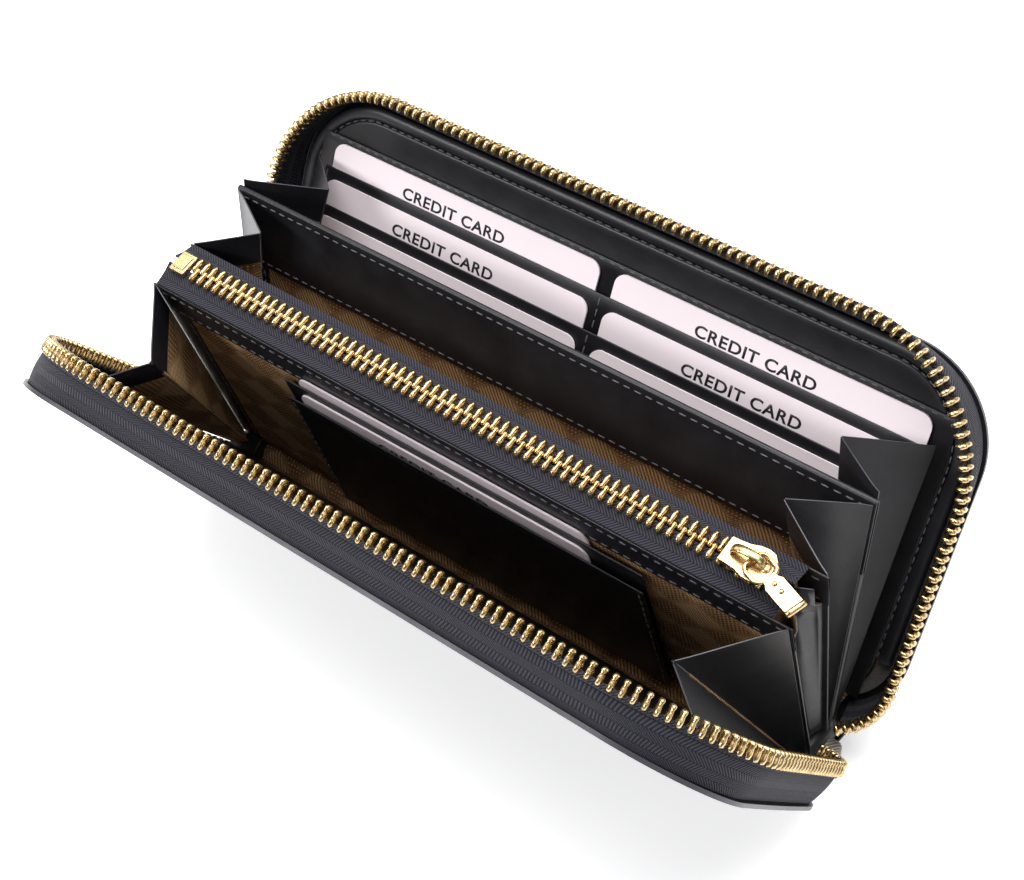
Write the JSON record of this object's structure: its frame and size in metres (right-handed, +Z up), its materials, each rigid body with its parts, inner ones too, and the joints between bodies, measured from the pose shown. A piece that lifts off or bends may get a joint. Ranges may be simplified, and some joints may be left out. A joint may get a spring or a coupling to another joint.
{
  "type": "zip around wallet",
  "caption": "Zip around wallet standing open on its spine, with fanned leaves, gussets, card slots, a bill divider and a zipped coin pocket.",
  "frame": {"origin": "middle of the spine's flat underside, on the surface the wallet stands on", "axes": "+X along the spine toward the closed end of the main zip, +Y toward the back cover, +Z up"},
  "size_m": [0.2188, 0.122, 0.0965],
  "materials": {
    "black_leather": "smooth semi-gloss hide",
    "edge_leather": "polished padded edge",
    "jacquard_lining": "woven jacquard",
    "zip_tape": "herringbone woven",
    "gold_metal": "polished pale gold",
    "card_stock": "printed card",
    "stiffener": "grey board"
  },
  "bodies": {
    "spine": {"spine_leather": "black_leather", "spine_side_back": "black_leather", "spine_side_front": "black_leather", "spine_board": "stiffener", "spine_lining": "jacquard_lining", "zip_end_tab": "zip_tape", "main_slider": "gold_metal"},
    "main_pull": {"main_pull": "gold_metal"},
    "back_cover": {"back_cover_leather": "black_leather", "back_board": "stiffener", "back_lining": "black_leather", "back_edge_roll": "edge_leather", "back_zip_tape": "zip_tape", "back_zip_chain": "gold_metal", "back_slot_backing": "black_leather", "back_slot_top": "black_leather", "back_slot_middle": "black_leather", "back_slot_bottom": "black_leather"},
    "front_cover": {"front_cover_leather": "black_leather", "front_board": "stiffener", "front_lining": "black_leather", "front_edge_roll": "edge_leather", "front_zip_tape": "zip_tape", "front_zip_chain": "gold_metal", "front_slot": "black_leather"},
    "bill_divider": {"divider_lining": "jacquard_lining", "divider_band": "black_leather", "gusset_rear_right": "black_leather", "gusset_rear_left": "black_leather"},
    "coin_back": {"coin_back_wall": "jacquard_lining", "coin_tape_back": "zip_tape", "gusset_middle_right": "black_leather", "gusset_middle_left": "black_leather"},
    "coin_zip": {"coin_chain_back": "gold_metal", "coin_chain_front": "gold_metal", "coin_stop_left": "gold_metal"},
    "coin_slider": {"coin_slider": "gold_metal"},
    "coin_pull": {"coin_pull": "gold_metal"},
    "coin_front": {"coin_front_wall": "jacquard_lining", "coin_tape_front": "zip_tape", "coin_slot_rear": "black_leather", "coin_slot_front": "black_leather"},
    "coin_fold": {"gusset_front_right_inner": "black_leather", "gusset_front_left_inner": "black_leather"},
    "front_fold": {"gusset_front_right_outer": "black_leather", "gusset_front_left_outer": "black_leather"},
    "back_card_left_top": {"back_card_left_top": "card_stock"},
    "back_card_left_middle": {"back_card_left_middle": "card_stock"},
    "back_card_left_bottom": {"back_card_left_bottom": "card_stock"},
    "back_card_right_top": {"back_card_right_top": "card_stock"},
    "back_card_right_middle": {"back_card_right_middle": "card_stock"},
    "back_card_right_bottom": {"back_card_right_bottom": "card_stock"},
    "front_card_left": {"front_card_left": "card_stock"},
    "front_card_right": {"front_card_right": "card_stock"},
    "coin_card_rear": {"coin_card_rear": "card_stock"},
    "coin_card_front": {"coin_card_front": "card_stock"}
  },
  "joints": [
    {"name": "wallet_open", "type": "hinge", "parent": "spine", "child": "back_cover", "pos_m": [0, 0, 0.0096], "axis": [-1, 0, 0], "range_deg": [-31, 14], "deforming": ["spine_side_back"]},
    {"name": "front_cover_open", "type": "hinge", "parent": "spine", "child": "front_cover", "pos_m": [0, 0, 0.0096], "axis": [1, 0, 0], "range_deg": [-31, 14], "deforming": ["spine_side_front"]},
    {"name": "divider_fan", "type": "hinge", "parent": "back_cover", "child": "bill_divider", "pos_m": [0, 0, 0.0096], "axis": [1, 0, 0], "range_deg": [-20.4, 9.21], "deforming": ["gusset_rear_right", "gusset_rear_left"]},
    {"name": "coin_back_fan", "type": "hinge", "parent": "bill_divider", "child": "coin_back", "pos_m": [0, 0, 0.0096], "axis": [1, 0, 0], "range_deg": [-13.8, 6.23], "deforming": ["gusset_middle_right", "gusset_middle_left"]},
    {"name": "coin_zip_fan", "type": "hinge", "parent": "coin_back", "child": "coin_zip", "pos_m": [0, 0, 0.0096], "axis": [1, 0, 0], "range_deg": [-2.8, 1.27], "deforming": ["coin_tape_back"]},
    {"name": "coin_front_fan", "type": "hinge", "parent": "coin_zip", "child": "coin_front", "pos_m": [0, 0, 0.0096], "axis": [1, 0, 0], "range_deg": [-2.8, 1.27], "deforming": ["coin_tape_front"]},
    {"name": "coin_fold_fan", "type": "hinge", "parent": "coin_front", "child": "coin_fold", "pos_m": [0, 0, 0.0096], "axis": [1, 0, 0], "range_deg": [-13.1, 5.92], "deforming": ["gusset_front_right_inner", "gusset_front_left_inner"]},
    {"name": "front_fold_fan", "type": "hinge", "parent": "front_cover", "child": "front_fold", "pos_m": [0, 0, 0.0096], "axis": [-1, 0, 0], "range_deg": [-9.1, 4.11], "deforming": ["gusset_front_right_outer", "gusset_front_left_outer"]},
    {"name": "coin_slider_slide", "type": "slide", "parent": "coin_zip", "child": "coin_slider", "axis": [1, 0, 0], "range_m": [-0.155, 0]},
    {"name": "coin_pull_lift", "type": "hinge", "parent": "coin_slider", "child": "coin_pull", "pos_m": [0.078, -0.00906, 0.08436], "axis": [-0.342, -0.9345, -0.0982], "range_deg": [0, 100]},
    {"name": "main_pull_lift", "type": "hinge", "parent": "spine", "child": "main_pull", "pos_m": [-0.10145, 0, 0.01047], "axis": [0, 1, 0], "range_deg": [0, 65]},
    {"name": "back_card_left_top_pull_out", "type": "slide", "parent": "back_cover", "child": "back_card_left_top", "axis": [0, 0.515, 0.8572], "range_m": [0, 0.009]},
    {"name": "back_card_left_middle_pull_out", "type": "slide", "parent": "back_cover", "child": "back_card_left_middle", "axis": [0, 0.515, 0.8572], "range_m": [0, 0.016]},
    {"name": "back_card_left_bottom_pull_out", "type": "slide", "parent": "back_cover", "child": "back_card_left_bottom", "axis": [0, 0.515, 0.8572], "range_m": [0, 0.022]},
    {"name": "back_card_right_top_pull_out", "type": "slide", "parent": "back_cover", "child": "back_card_right_top", "axis": [0, 0.515, 0.8572], "range_m": [0, 0.009]},
    {"name": "back_card_right_middle_pull_out", "type": "slide", "parent": "back_cover", "child": "back_card_right_middle", "axis": [0, 0.515, 0.8572], "range_m": [0, 0.016]},
    {"name": "back_card_right_bottom_pull_out", "type": "slide", "parent": "back_cover", "child": "back_card_right_bottom", "axis": [0, 0.515, 0.8572], "range_m": [0, 0.022]},
    {"name": "front_card_left_pull_out", "type": "slide", "parent": "front_cover", "child": "front_card_left", "axis": [0, -0.515, 0.8572], "range_m": [0, 0.007]},
    {"name": "front_card_right_pull_out", "type": "slide", "parent": "front_cover", "child": "front_card_right", "axis": [0, -0.515, 0.8572], "range_m": [0, 0.007]},
    {"name": "coin_card_rear_pull_out", "type": "slide", "parent": "coin_front", "child": "coin_card_rear", "axis": [0, -0.153, 0.9882], "range_m": [0, 0.03]},
    {"name": "coin_card_front_pull_out", "type": "slide", "parent": "coin_front", "child": "coin_card_front", "axis": [0, -0.153, 0.9882], "range_m": [0, 0.03]}
  ],
  "couplings": [
    {"joint": "front_cover_open", "follows": "wallet_open", "ratio": 1},
    {"joint": "divider_fan", "follows": "wallet_open", "ratio": 0.65807},
    {"joint": "coin_back_fan", "follows": "wallet_open", "ratio": 0.44516},
    {"joint": "coin_zip_fan", "follows": "wallet_open", "ratio": 0.090323},
    {"joint": "coin_front_fan", "follows": "wallet_open", "ratio": 0.090323},
    {"joint": "coin_fold_fan", "follows": "wallet_open", "ratio": 0.42258},
    {"joint": "front_fold_fan", "follows": "wallet_open", "ratio": 0.29355}
  ]
}
